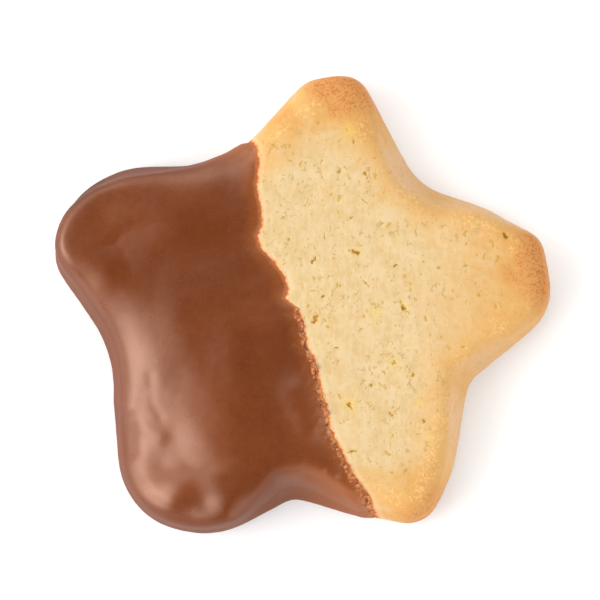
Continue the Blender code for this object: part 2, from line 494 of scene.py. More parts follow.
def thin_out(piece, points, share):
    """Give a piece a modifier that keeps a share of the given points and all the others."""
    hidden = piece.vertex_groups.new(name="hidden")
    hidden.add([int(point) for point in points], 1.0, "REPLACE")
    thin = piece.modifiers.new("Thin", "DECIMATE")
    thin.ratio = 1.0 - (1.0 - share) * len(points) / len(piece.data.vertices)
    thin.vertex_group = "hidden"
    thin.vertex_group_factor = 1.0


draft = new_piece("draft", biscuit_mesh)
places, outward = layout(biscuit_mesh)
thin_out(draft, np.flatnonzero(line_side(places) < -HIDDEN_DEPTH), HIDDEN_SHARE)
biscuit_mesh = settled_mesh(draft)
biscuit_mesh.name = "biscuit_body"
print("points in the biscuit:", len(biscuit_mesh.vertices), "faces:", len(biscuit_mesh.polygons))

# %% [markdown]
# ## Pores and cracks
#
# Butter dough dries as it bakes and leaves small torn pores, most of them longer than wide and
# lying along one direction. The few that catch the eye are listed one by one; the rest are scattered
# with a seeded generator, so that every run gives the same biscuit. A pore is an ellipse on the
# surface whose edge is pushed about by fine noise.

# %% Listed pores: x, y, half length, half width, angle, depth in mm and degrees
NOTED_PORES = (
    (1.6, 5.1, 0.48, 0.14, 52.0, 0.55),
    (6.6, 6.0, 0.62, 0.22, -12.0, 0.50),
    (1.7, -2.3, 0.55, 0.30, 70.0, 0.40),
    (11.4, -7.5, 0.36, 0.26, 60.0, 0.30),
    (12.6, -0.8, 0.36, 0.30, 0.0, 0.45),
    (5.8, -12.7, 0.42, 0.30, 40.0, 0.45),
    (11.0, -13.9, 0.34, 0.18, -20.0, 0.40),
    (15.1, -14.7, 0.30, 0.22, 60.0, 0.35),
    (13.7, -8.9, 0.30, 0.18, 60.0, 0.35),
    (8.5, -10.3, 0.30, 0.20, 80.0, 0.35),
    (4.3, -5.7, 0.24, 0.16, 0.0, 0.30),
    (6.2, -18.5, 0.46, 0.14, 8.0, 0.40),
    (12.8, -20.9, 0.30, 0.18, 80.0, 0.30),
    (4.6, 16.1, 0.34, 0.14, 85.0, 0.35),
    (8.0, 15.6, 0.42, 0.18, -60.0, 0.38),
    (15.0, 4.9, 0.18, 0.12, 0.0, 0.30),
    (20.0, 4.3, 0.34, 0.12, 15.0, 0.35),
    (17.0, 4.1, 0.24, 0.14, -10.0, 0.30),
    (7.9, 2.3, 0.56, 0.09, -45.0, 0.40),
    (7.6, 12.5, 0.62, 0.09, -38.0, 0.40),
    (6.0, 10.2, 0.32, 0.10, 35.0, 0.35),
    (-2.1, 10.3, 0.46, 0.10, 15.0, 0.35),
    (2.8, 7.9, 0.60, 0.07, 88.0, 0.35),
    (9.8, 9.5, 0.34, 0.09, 35.0, 0.35),
    (11.4, 4.3, 0.28, 0.12, 20.0, 0.40),
    (3.3, 3.1, 0.16, 0.10, 60.0, 0.40),
    (4.8, 2.0, 0.26, 0.08, 70.0, 0.35),
    (2.6, 0.5, 0.24, 0.12, 40.0, 0.40),
    (6.5, 19.7, 0.34, 0.10, 100.0, 0.35),
    (2.5, 17.4, 0.56, 0.07, 75.0, 0.35),
    (25.4, 8.8, 0.42, 0.26, -50.0, 0.60),
    (22.6, 5.9, 0.30, 0.12, 60.0, 0.35),
    (-1.6, 7.5, 0.30, 0.14, 60.0, 0.30),
)
PORE_DEPTH = 0.4
PORE_GROWTH = 1.5
PORE_MARGIN = 0.2
PORE_WALL = 1.25
PORE_RIPPLES = ((0.32, 0.9, 21, 1), (0.32, 0.9, 22, 1))
PORES_FACING = 0.93
PORES_FROM = 0.3

# The scattered small pores. Their half lengths are log-normal and kept within limits, in mm; their
# half widths are a share of that; their angles are normal, in degrees.
SMALL_PORES = 380
SMALL_SEED = 11
SMALL_LENGTHS = (-1.5, 0.5)
SMALL_LIMITS = (0.12, 0.6)
SMALL_SHARES = (0.25, 0.6)
SMALL_SLIMMEST = 0.08
SMALL_ANGLES = (95.0, 40.0)
SMALL_DEPTHS = (0.08, 0.22)


def pores(places, outward):
    """Return two fields: how deep each place lies in its pore, from 0 to 1, and that depth in mm."""
    ripple = np.stack([wander(places, *ripples) for ripples in PORE_RIPPLES], axis=1)
    share = np.zeros(len(places))
    sunk = np.zeros(len(places))
    bare = bare_side(places)
    top = np.flatnonzero((outward[:, 2] > PORES_FACING) & (bare > PORES_FROM))

    def carve(centre, angle, half_length, half_width, depth):
        """Add one pore to both fields."""
        reach = half_length + PORE_MARGIN
        near = np.flatnonzero(np.all(np.abs(places - centre) < reach, axis=1))
        turn = math.radians(angle)
        along = np.array((math.cos(turn), math.sin(turn), 0.0))
        across = np.cross(outward[near], along)
        offset = places[near] - centre
        u = (offset @ along) / half_length + ripple[near, 0]
        v = np.einsum("ij,ij->i", offset, across) / half_width + ripple[near, 1]
        hole = ease(PORE_WALL * (1.0 - np.sqrt(u * u + v * v)))
        share[near] = np.maximum(share[near], hole * min(1.0, 0.35 + depth))
        sunk[near] = np.maximum(sunk[near], hole * depth * PORE_DEPTH)

    for x, y, half_length, half_width, angle, depth in NOTED_PORES:
        nearest = top[np.argmin(np.hypot(places[top, 0] - x, places[top, 1] - y))]
        carve(places[nearest], angle, half_length * PORE_GROWTH, half_width * PORE_GROWTH, depth)

    chance = np.random.default_rng(SMALL_SEED)
    for point in chance.choice(top, SMALL_PORES, replace=False):
        half_length = float(np.clip(chance.lognormal(*SMALL_LENGTHS), *SMALL_LIMITS))
        half_width = max(half_length * chance.uniform(*SMALL_SHARES), SMALL_SLIMMEST)
        angle = chance.normal(*SMALL_ANGLES)
        carve(places[point], angle, half_length, half_width, chance.uniform(*SMALL_DEPTHS))
    return share, sunk


# %% [markdown]
# ## Browning
#
# Thin ends bake faster than the thick middle, so each arm end browns, and so does the underside,
# which lay on a hot tray. The field runs from 0 (pale) to a little over 1 (brown) and is broken up
# by noise.

# %% Browning: x, y and reach in mm, and how brown
BROWNED_PLACES = (
    (7.4, 29.5, 14.5, 1.0),
    (32.5, 4.6, 13.5, 1.0),
    (29.0, 1.0, 22.0, 0.36),
    (32.5, 8.0, 7.0, 1.2),
    (17.4, -28.8, 14.0, 0.85),
    (-3.0, 23.5, 7.0, 0.50),
    (17.0, 13.0, 8.0, 0.30),
    (20.0, -10.0, 7.0, 0.30),
    (19.5, -19.0, 7.0, 0.25),
)
BAKED_PATCHES = (3.0, 1.0, 5, 3)
PATCHES_PUSH = 1.6
BAKED_UNDER = (0.55, 0.25)
BROWNEST = 1.2


def browning(places, outward):
    """Return how brown each place is baked, from 0 to BROWNEST."""
    patchy = wander(places, *BAKED_PATCHES)
    baked = np.zeros(len(places))
    for x, y, reach, amount in BROWNED_PLACES:
        away = np.hypot(places[:, 0] - x, places[:, 1] - y)
        baked = np.maximum(baked, amount * ease(1.0 - (away + PATCHES_PUSH * patchy) / reach))
    underneath = ease(-outward[:, 2] * 1.4 - 0.3) * (BAKED_UNDER[0] + BAKED_UNDER[1] * patchy)
    return np.clip(np.maximum(baked, underneath), 0.0, BROWNEST)


# %% Fat stains around the larger pores: x, y and reach in mm
STAINS = (
    (5.8, -12.7, 0.9),
    (9.1, -1.4, 0.8),
    (5.8, 21.0, 0.8),
    (1.7, -2.2, 0.5),
    (11.4, -7.5, 0.6),
    (12.6, -0.8, 0.5),
    (6.6, 6.0, 0.6),
    (14.5, -12.5, 0.6),
    (15.7, -16.8, 0.5),
)


def halos(places):
    """Return how much butter has yellowed each place, from 0 to 1."""
    yellowed = np.zeros(len(places))
    for x, y, reach in STAINS:
        away = np.hypot(places[:, 0] - x, places[:, 1] - y)
        yellowed = np.maximum(yellowed, np.exp(-((away / reach) ** 2)))
    return yellowed


# %% Shape the biscuit
CRUST = (0.7, 0.022, 3, 3)

places, outward = layout(biscuit_mesh)
share, sunk = pores(places, outward)
bare = bare_side(places)
crust = wander(places, *CRUST) * ease((bare + 1.0) / 0.8)
write_fields(
    biscuit_mesh,
    pore=share,
    baked=browning(places, outward),
    upright=outward[:, 2],
    inward=from_outline(places),
    bare=bare,
    halo=halos(places),
)
relief = swell(places, outward) + crust - sunk + BARE_ROLL[-1] * upstanding(outward)
write_places(biscuit_mesh, places + outward * relief[:, None])
print("deepest pore in mm:", round(float(sunk.max()), 2))

# %% [markdown]
# ## The chocolate
#
# Chocolate follows whatever is under it, thin at its lip and thicker where it pooled. So the coat is
# the same skin, kept up to just past the dip line, extruded into an outer and an inner face. The
# outer face stands off by a thickness that falls to nothing at the dip line and dives below the
# biscuit beyond it. What shows as the lip is where the two surfaces cross, as ragged as the crust.
#
# Then the shoulder between top and wall is squared where the chocolate stood up, the wall leans or
# bulges as its stretch of the outline says, and folds and grooves follow their routes.

# %% Chocolate thickness
COAT_FULL = 1.2
COAT_UNDER = 0.9
LIP_HEIGHT = (0.12, 0.22)
LIP_RISE = (0.75, 0.30)
COAT_RISE = 8.0
COAT_EVEN_OVER = 81
COAT_EVEN_FROM = 2.0
COAT_WAVES = ((7.0, 0.08, 8), (2.2, 0.012, 9))
WAVES_FADE = (0.6, 2.0)
COAT_PAST_LINE = 0.9
COAT_SUNK = (0.35, 0.35)
LIP_LUMPS = (0.85, 0.20, 12)
LUMPS_FADE = (0.2, 0.8)

# Folds in the chocolate: route in plan, width and height in mm. Grooves have a negative height.
FOLDS = (
    (((-24.6, 14.6), (-22.0, 15.8), (-19.9, 16.4), (-17.3, 16.8), (-15.5, 17.2)), 0.42, 0.26),
    (((-20.3, -13.1), (-19.6, -14.8), (-17.2, -16.5)), 1.1, 0.17),
    (((-19.2, -11.2), (-19.6, -12.8)), 0.9, -0.10),
    (((-20.1, -14.2), (-20.4, -15.9), (-20.4, -18.2)), 1.0, -0.26),
    (((-18.3, -9.0), (-18.1, -12.4), (-17.1, -14.0)), 0.6, -0.07),
    (((-16.8, -20.3), (-16.7, -20.5)), 1.4, -0.12),
    (((-18.5, -22.7), (-18.3, -23.1)), 1.1, 0.10),
    (((-14.4, -26.4), (-12.6, -24.6)), 2.3, -0.68),
    (((-12.4, -27.3), (-9.4, -25.8)), 1.1, 0.26),
    (((-0.6, -11.5), (1.0, -15.5)), 2.1, 0.42),
    (((0.4, -20.2), (2.4, -20.9), (5.2, -22.7)), 0.6, -0.30),
    (((3.5, -20.6), (4.2, -21.2)), 0.5, 0.15),
    (((-6.4, 20.6), (-5.6, 21.2)), 0.9, 0.22),
)
FOLD_FADE = 1.2
COAT_THINNEST = 0.30

# The route of the rim that lies in its own shade, which is painted on as a dark colour.
SHADED_RIM = ((-28.0, 12.5), (-24.0, 16.5), (-19.0, 18.0), (-14.5, 18.2))
SHADED_WIDTH = 1.6


def distance_to_route(places, route):
    """Return the distance in plan from each place to a route of straight stretches."""
    nearest = np.full(len(places), 1e9)
    for start, end in zip(route[:-1], route[1:]):
        start, run = np.array(start), np.array(end) - np.array(start)
        t = np.clip((places[:, :2] - start) @ run / (run @ run), 0.0, 1.0)
        away = np.linalg.norm(places[:, :2] - start - t[:, None] * run, axis=1)
        nearest = np.minimum(nearest, away)
    return nearest


def fold_height(places, outward):
    """Return how far the folds lift the chocolate at each place, in mm."""
    height = np.zeros(len(places))
    for route, width, rise in FOLDS:
        height += rise * np.exp(-((distance_to_route(places, route) / width) ** 2))
    return height * ease(outward[:, 2] / 0.35 - 0.4) * ease(-bare_side(places) / FOLD_FADE)


def coat_thickness(places, outward):
    """Return how far the chocolate's outside stands off the biscuit at each place, in mm."""
    under = -bare_side(places)
    full = COAT_FULL + (COAT_UNDER - COAT_FULL) * ease(-outward[:, 2] * 1.5)
    rising = np.maximum(under, 0.0)
    lip_rise = LIP_RISE[0] + (LIP_RISE[1] - LIP_RISE[0]) * crumbly(places)
    lip_height = LIP_HEIGHT[0] + (LIP_HEIGHT[1] - LIP_HEIGHT[0]) * crumbly(places)
    lip = lip_height * (1.0 - np.exp(-rising / lip_rise))
    evened = np.maximum(-line_side(places, COAT_EVEN_OVER), 0.0)
    near = np.exp(-rising / COAT_EVEN_FROM)
    depth = rising * near + evened * (1.0 - near)
    body = (full - lip_height) * (1.0 - np.exp(-depth / COAT_RISE))
    waves = sum(wander(places, *wave) for wave in COAT_WAVES)
    waves *= ease((under - WAVES_FADE[0]) / WAVES_FADE[1]) * off_the_tray(outward)
    lumps = wander(places, *LIP_LUMPS) * crumbly(places)
    lumps *= ease(under / LUMPS_FADE[0]) * np.exp(-rising / LUMPS_FADE[1])
    return lip + body + waves + lumps - COAT_SUNK[0] * ease(-under / COAT_SUNK[1])


# %% How high the top would be if it rolled over nowhere
DOME_FROM = 4.5

places, outward = layout(skin)
level = (outward[:, 2] > 0.9) & (from_outline(places) > DOME_FROM) & (slump(places) < 0.05)
dome = np.polyfit(np.hypot(places[level, 0], places[level, 1]) ** 2, places[level, 2], 1)
print("height of the top at the middle in mm:", round(float(dome[1]), 2))

# %% Outer and inner faces of the chocolate, with a finer net near the lip
FINER_WITHIN = 2.0
FINEST_WITHIN = 0.7

coat_mesh = skin.copy()
coat_mesh.name = "chocolate"
places, outward = layout(coat_mesh)
finer_where(coat_mesh, np.abs(line_side(places)) < FINER_WITHIN)
places, outward = layout(coat_mesh)
finer_where(coat_mesh, (np.abs(bare_side(places)) < FINEST_WITHIN) & (outward[:, 2] > 0.5))
places, outward = layout(coat_mesh)
beyond = line_side(places) > COAT_PAST_LINE
shape = shape_of(coat_mesh)
bmesh.ops.delete(shape, geom=[shape.verts[int(i)] for i in np.flatnonzero(beyond)], context="VERTS")
loose = [corner for corner in shape.verts if not corner.link_faces]
bmesh.ops.delete(shape, geom=loose, context="VERTS")
shape.normal_update()
inner = np.array([corner.co[:] for corner in shape.verts]) / MM
facing = np.array([corner.normal[:] for corner in shape.verts])
thickness = coat_thickness(inner, facing)
source = shape.verts.layers.int.new("source")
for number, corner in enumerate(shape.verts):
    corner[source] = number
pulled = bmesh.ops.extrude_face_region(shape, geom=list(shape.faces), use_keep_orig=True)
outer = {item for item in pulled["geom"] if isinstance(item, bmesh.types.BMVert)}

# %% Set the outer face off the biscuit and the inner one just under its surface
INNER_DEPTH = 0.15
FOOT_FLARE = 0.25
FOOT_HEIGHT = 1.6
FOOT_FADE = 3.0
FOOT_UNEVEN = (4.0, 1.0, 10)
BULGE_FADE = 1.5
SHOULDER = 5.0
SHOULDER_REACH = 7.0
SHOULDER_FADE = 4.0
LEAN_FROM = (2.0, 8.0)
LEAN_REACH = 4.0
LEAN_FADE = 2.0

order = np.array([corner[source] for corner in shape.verts])
is_outer = np.array([corner in outer for corner in shape.verts])
inward = from_outline(inner)
_, _, crispness, leaning, bulge = roll_at(inner)
foot = ease(1.0 - inner[:, 2] / FOOT_HEIGHT) * (1.0 - np.abs(facing[:, 2]))
foot *= ease(-line_side(inner) / FOOT_FADE)
flare = FOOT_FLARE * foot * (1.0 + wander(inner, *FOOT_UNEVEN))
flare += bulge * upstanding(facing) * ease(-line_side(inner) / BULGE_FADE)
inside = np.minimum(thickness, 0.0) - INNER_DEPTH
stand_off = np.where(is_outer, (thickness + flare)[order], inside[order])
stand_off += swell(inner, facing)[order]
coat_places = inner[order] + facing[order] * stand_off[:, None]
crispness = 1.0 + (crispness - 1.0) * ease((SHOULDER_REACH - inward) / SHOULDER_FADE)
top = np.polyval(dome, np.hypot(inner[:, 0], inner[:, 1]) ** 2)
top += thickness + swell(inner, facing)
below = np.clip((top[order] - coat_places[:, 2]) / SHOULDER, 0.0, 1.0)
coat_places[:, 2] += np.where(is_outer, SHOULDER * (below - below ** crispness[order]), 0.0)
low, high = LEAN_FROM
lean = leaning[order] * ease((coat_places[:, 2] - low) / (high - low))
lean *= ease((LEAN_REACH - inward[order]) / LEAN_FADE)
coat_places[:, :2] -= facing[order, :2] * np.where(is_outer, lean, 0.0)[:, None]
folds = fold_height(inner, facing)
folds = np.maximum(folds, np.minimum(COAT_THINNEST - thickness, 0.0))
folds = np.where(is_outer, folds[order], 0.0)
coat_places += facing[order] * folds[:, None]
coat_places[:, 2] = np.maximum(coat_places[:, 2], 0.0)
bmesh.ops.recalc_face_normals(shape, faces=shape.faces)
shape.to_mesh(coat_mesh)
shape.free()
write_places(coat_mesh, coat_places)
# Painted shade: how much the upper left rim is darkened, where it lies in its own shade.
shade = np.exp(-((distance_to_route(inner, SHADED_RIM) / SHADED_WIDTH) ** 2))
shade *= ease((0.95 - facing[:, 2]) / 0.3)
write_fields(
    coat_mesh,
    past=-bare_side(inner)[order],
    upright=facing[order, 2],
    torn=crumbly(inner)[order],
    shade=shade[order],
)

# %% Thin its inner face, which nobody sees
UNSEEN_FROM = 1.5

draft = new_piece("draft", coat_mesh)
unseen = np.flatnonzero(~is_outer & (-bare_side(inner)[order] > UNSEEN_FROM))
thin_out(draft, unseen, HIDDEN_SHARE)
coat_mesh = settled_mesh(draft)
coat_mesh.name = "chocolate"
print("faces in the coat:", len(coat_mesh.polygons))

# %% [markdown]
# ## Crumbs
#
# Pulling the biscuit out of the bath leaves loose crumbs standing along the lip. Each is a small
# lump with a shape of its own, and all of them are joined into one piece.

# %% Crumbs along the lip
CRUMB_COUNT = 80
CRUMB_SEED = 5
CRUMB_RADII = (-1.75, 0.35)
CRUMB_LIMITS = (0.09, 0.32)
CRUMB_STRETCH = (0.6, 1.5)
CRUMB_LUMPINESS = 0.55
CRUMB_BAND = (-0.05, 0.5)
CRUMB_CLUMPS = (2.2, 1.0, 50)


def add_crumb(shape, chance, place, radius):
    """Add one lump to the shape at a place in mm."""
    made = bmesh.ops.create_icosphere(shape, subdivisions=2, radius=radius * MM)["verts"]
    stretch = Vector(chance.uniform(*CRUMB_STRETCH, 3))
    shift = Vector(chance.uniform(-50.0, 50.0, 3))
    for corner in made:
        lump = noise.noise(corner.co / (radius * MM) * 1.4 + shift)
        corner.co = corner.co * (1.0 + CRUMB_LUMPINESS * lump) * stretch
    angle = chance.uniform(0.0, math.tau)
    turn = Matrix.Rotation(angle, 3, Vector(chance.normal(size=3)).normalized())
    bmesh.ops.rotate(shape, verts=made, cent=(0.0, 0.0, 0.0), matrix=turn)
    bmesh.ops.translate(shape, verts=made, vec=Vector(place) * MM)
    return made


crumb_chance = np.random.default_rng(CRUMB_SEED)
places, outward = layout(coat_mesh)
past = -bare_side(places)
torn = (crumbly(places) > 0.3) & (wander(places, *CRUMB_CLUMPS) > -0.1)
on_lip = (past > CRUMB_BAND[0]) & (past < CRUMB_BAND[1]) & (outward[:, 2] > 0.4)
lip_points = np.flatnonzero(on_lip & torn)
shape = bmesh.new()
tones = []
for point in crumb_chance.choice(lip_points, CRUMB_COUNT, replace=False):
    radius = float(np.clip(crumb_chance.lognormal(*CRUMB_RADII), *CRUMB_LIMITS))
    centre = places[point] + outward[point] * radius * 0.1
    made = add_crumb(shape, crumb_chance, centre, radius)
    tones += [crumb_chance.uniform()] * len(made)
crumb_mesh = mesh_of(shape, "crumbs")
write_fields(crumb_mesh, tone=np.array(tones))
print("faces in the crumbs:", len(crumb_mesh.polygons))

# %% [markdown]
# ## Writing materials as sums
#
# A Wire stands for one socket. Adding or multiplying Wires makes the matching Math nodes, so a
# finish reads like the sentence that describes it.

# %% A small language for materials


class Wire:
    """One socket of a node tree, for use in Python sums."""

    def __init__(self, tree, socket=None):
        self.tree = tree
        self.socket = socket

    def node(self, kind, settings=None, inputs=None, output=0):
        """Add a node: its settings first, then a value or a Wire for each input."""
        made = self.tree.nodes.new(kind)
        for name, value in (settings or {}).items():
            setattr(made, name, value)
        for name, value in (inputs or {}).items():
            if isinstance(value, Wire):
                self.tree.links.new(value.socket, made.inputs[name])
            else:
                made.inputs[name].default_value = value
        return Wire(self.tree, made.outputs[output]) if made.outputs else made

    def math(self, operation, *values):
        """Add a Math node."""
        return self.node("ShaderNodeMath", {"operation": operation}, dict(enumerate(values)))

    def __add__(self, other):
        return self.math("ADD", self, other)

    def __radd__(self, other):
        return self.math("ADD", other, self)

    def __sub__(self, other):
        return self.math("SUBTRACT", self, other)

    def __rsub__(self, other):
        return self.math("SUBTRACT", other, self)

    def __mul__(self, other):
        return self.math("MULTIPLY", self, other)

    def most(self, other):
        """Return the larger of the two."""
        return self.math("MAXIMUM", self, other)

    def size(self):
        """Return the number without its sign."""
        return self.math("ABSOLUTE", self)

    def ramp(self, start, end):
        """Return a smooth rise from 0 at start to 1 at end. Start may be the larger."""
        low, high = min(start, end), max(start, end)
        made = self.node(
            "ShaderNodeMapRange",
            {"interpolation_type": "SMOOTHSTEP"},
            {"Value": self, "From Min": low, "From Max": high},
        )
        return made if start < end else 1.0 - made

    def blend(self, first, second):
        """Return a colour: the first where this Wire is 0, the second where it is 1."""
        first = (*first, 1.0) if isinstance(first, tuple) else first
        second = (*second, 1.0) if isinstance(second, tuple) else second
        settings = {"data_type": "RGBA", "clamp_factor": True}
        return self.node("ShaderNodeMix", settings, {0: self, 6: first, 7: second}, 2)

    def field(self, name):
        """Return a number stored on the mesh."""
        return self.node("ShaderNodeAttribute", {"attribute_name": name}, output="Fac")

    def place(self):
        """Return the place on the object, in mm."""
        spot = self.node("ShaderNodeTexCoord", output="Object")
        return self.node("ShaderNodeVectorMath", {"operation": "SCALE"}, {0: spot, "Scale": 1.0 / MM})

    def grain(self, size, detail=2.0, roughness=0.5, stretch=(1.0, 1.0, 1.0)):
        """Return noise from 0 to 1 with spots of a size in mm, longer where stretch is larger."""
        scale = tuple(1.0 / (size * side) for side in stretch)
        times = {"operation": "MULTIPLY"}
        spot = self.node("ShaderNodeVectorMath", times, {0: self.place(), 1: scale})
        inputs = {"Vector": spot, "Scale": 1.0, "Detail": detail, "Roughness": roughness}
        return self.node("ShaderNodeTexNoise", {"noise_dimensions": "3D"}, inputs, "Fac")


def new_finish(name):
    """Return a new material and a Wire to write it with."""
    material = bpy.data.materials.new(name)
    material.use_nodes = True
    material.node_tree.nodes.clear()
    return material, Wire(material.node_tree)


def finish_with(wire, colour, roughness, height, strength_mm, constants):
    """End a material in a Principled surface: colour, roughness and a bump of a height in mm."""
    relief = {"Strength": 1.0, "Distance": strength_mm * MM, "Height": height}
    bump = wire.node("ShaderNodeBump", None, relief)
    surface = wire.node(
        "ShaderNodeBsdfPrincipled",
        None,
        {"Base Color": colour, "Roughness": roughness, "Normal": bump, **constants},
    )
    wire.node("ShaderNodeOutputMaterial", None, {"Surface": surface})


# %% [markdown]
# ## The biscuit's finish
#
# The crumb is pale and a little uneven. It turns golden where the top rolls over into the walls,
# tan on the walls, and toasted where the browning field says so. Pores are darker the deeper they
# go, because caramelised sugar sits inside them.

# %% Biscuit colours
PALE = (0.592, 0.408, 0.189)
CREAM = (0.638, 0.478, 0.260)
GOLD = (0.670, 0.360, 0.106)
TAN = (0.610, 0.335, 0.102)
TOAST = (0.580, 0.240, 0.062)
BROWN = (0.400, 0.125, 0.026)
WALL = (0.650, 0.402, 0.212)
BUTTER = (0.680, 0.500, 0.130)
OCHRE = (0.540, 0.330, 0.070)
CRACKED = (0.440, 0.285, 0.095)
SUGAR = (0.860, 0.560, 0.230)
PIT = (0.330, 0.120, 0.014)
EDGE = (0.820, 0.610, 0.380)
SOAKED = (0.730, 0.300, 0.090)
STAINED = (0.420, 0.095, 0.020)
BISCUIT_BUMP = 0.08

biscuit_finish, wire = new_finish("biscuit_finish")
upright = wire.field("upright")
baked = wire.field("baked")
pore = wire.field("pore")
inward = wire.field("inward")
bare = wire.field("bare")
streaks = wire.grain(1.1, 3.0, 0.6, (0.5, 1.7, 1.0)) - 0.5
mottled = wire.grain(2.4, 3.0) * 0.55 + wire.grain(0.7, 3.0) * 0.4 + streaks * 0.45
colour = (mottled + 0.03).ramp(0.34, 0.64).blend(PALE, CREAM)
rim = (inward + (wire.grain(3.5, 3.0) - 0.5) * 5.0 + (wire.grain(0.6) - 0.5) * 1.5).ramp(7.5, 1.2)
colour = (rim * 0.85).blend(colour, GOLD)
walls = (upright + (wire.grain(1.8) - 0.5) * 0.25).ramp(0.78, 0.30)
colour = walls.blend(colour, WALL)
browned = baked + (wire.grain(1.1, 4.0) - 0.5) * 0.35 * baked.ramp(0.02, 0.3)
colour = browned.ramp(0.02, 0.45).blend(colour, TAN)
colour = browned.ramp(0.22, 0.98).blend(colour, TOAST)
crackle = (wire.grain(1.1, 4.0, 0.65) - 0.5).size().ramp(0.030, 0.006)
crackle = crackle * wire.grain(0.6).ramp(0.45, 0.6)
scorched = (wire.grain(0.32, 3.0, 0.6).ramp(0.50, 0.64) * 0.9).most(crackle)
colour = (scorched * browned.ramp(0.35, 0.85)).blend(colour, BROWN)
colour = (wire.field("halo") * (0.2 + wire.grain(0.4, 2.0) * 0.7)).blend(colour, BUTTER)
specks = wire.grain(0.30, 2.0, 0.5, (0.8, 1.5, 1.0)).ramp(0.66, 0.74) * 0.6
vein = (wire.grain(1.3, 3.0, 0.6, (0.8, 1.4, 1.0)) - 0.5).size().ramp(0.028, 0.010)
crack = vein * wire.grain(0.8, 2.0).ramp(0.53, 0.61) * wire.grain(3.5, 1.0).ramp(0.36, 0.60) * 0.75
crack = crack * browned.ramp(0.45, 0.10)
marks = specks.most(crack)
colour = specks.blend(colour, OCHRE)
colour = crack.blend(colour, CRACKED)
shoulder = inward.ramp(1.0, 2.2) * inward.ramp(5.0, 3.0) * wire.grain(4.0, 1.0).ramp(0.42, 0.58)
sugared = shoulder * wire.grain(0.42, 3.0, 0.6).ramp(0.50, 0.62) * browned.ramp(0.75, 0.45)
colour = (sugared * 0.4).blend(colour, SUGAR)
pore = pore + (wire.grain(0.22, 2.0) - 0.5) * 0.5 * pore.ramp(0.0, 0.2)
colour = pore.ramp(0.08, 0.35).blend(colour, OCHRE)
colour = (pore.ramp(0.38, 0.75) * 0.9).blend(colour, PIT)
soaked = bare + (wire.grain(0.5, 3.0, 0.6) - 0.5) * 0.9
colour = (soaked.ramp(1.0, 0.55) * 0.22).blend(colour, EDGE)
colour = soaked.ramp(0.42, 0.08).blend(colour, SOAKED)
colour = soaked.ramp(0.22, -0.08).blend(colour, STAINED)
roughness = 0.62 + wire.grain(0.8) * 0.22
wrinkles = wire.grain(0.9, 3.0, 0.55, (0.6, 1.5, 1.0))
height = wire.grain(0.60, 4.0, 0.60) * 0.35 + wire.grain(0.18, 2.0) * 0.2
height = height + wrinkles * 0.4 - marks * 0.5
finish_with(
    wire,
    colour,
    roughness,
    height,
    BISCUIT_BUMP,
    {
        "Specular IOR Level": 0.3,
        "Subsurface Weight": 0.18,
        "Subsurface Radius": (1.0, 0.55, 0.25),
        "Subsurface Scale": 1.1 * MM,
    },
)

# %% [markdown]
# ## The chocolate's finish
#
# Milk chocolate is brown with a red cast where it thins out, and its skin is satin, not glossy: it
# shows soft lights on its folds. Faint clouds in the colour and roughness come from uneven cooling.

# %% Chocolate colours
COCOA = (0.130, 0.026, 0.0026)
MILK = (0.170, 0.039, 0.0065)
# A painted shade colour for the coat's walls.
SHADED = (0.130, 0.023, 0.0015)
# A painted shade colour for the upper left rim.
SHADOW = (0.045, 0.012, 0.006)
THIN = (0.300, 0.080, 0.012)
LIP_RED = (0.380, 0.088, 0.016)
LIP_TAN = (0.560, 0.225, 0.062)
# Painted shade for the hollows of the torn lip.
LIP_HOLLOW_SHADE = (0.105, 0.024, 0.002)
# A painted highlight colour for the torn lip.
LIP_HIGHLIGHT = (0.580, 0.265, 0.130)
BUBBLE = (0.095, 0.022, 0.006)
CHOCOLATE_BUMP = 0.035

chocolate_finish, wire = new_finish("chocolate_finish")
past = wire.field("past")
upright = wire.field("upright")
clouds = wire.grain(14.0, 2.0) * 0.75 + wire.grain(1.0, 2.0) * 0.25
colour = clouds.ramp(0.36, 0.64).blend(COCOA, MILK)
# Painted shade: the coat's walls are darker than its top.
colour = (upright.ramp(0.8, 0.4) * 0.85).blend(colour, SHADED)
colour = (past.ramp(9.0, 1.0) * upright.ramp(0.9, 0.4) * 0.65).blend(colour, THIN)
# Painted shade on the upper left rim.
colour = (wire.field("shade") * 0.85).blend(colour, SHADOW)
colour = (past.ramp(2.4, 0.3) * 0.5).blend(colour, THIN)
torn = wire.field("torn") * 0.9 + 0.1
frayed = past - torn * 0.15 + (wire.grain(0.6, 4.0, 0.6) - 0.5) * (0.4 + torn * 0.5)
lip = frayed.ramp(0.52, 0.05)
lip_tone = (wire.grain(0.45, 2.0).ramp(0.42, 0.56) * torn).blend(LIP_RED, LIP_TAN)
colour = lip.blend(colour, lip_tone)
# Painted shade: dark spots on the torn lip, where its hollows lie in shade; these spots are also made
# rougher.
hollow_shade = wire.grain(1.1, 2.0, 0.5).ramp(0.52, 0.60)
hollow_shade = hollow_shade * past.ramp(0.65, 0.40) * past.ramp(0.02, 0.12) * torn
colour = (hollow_shade * 0.9).blend(colour, LIP_HOLLOW_SHADE)
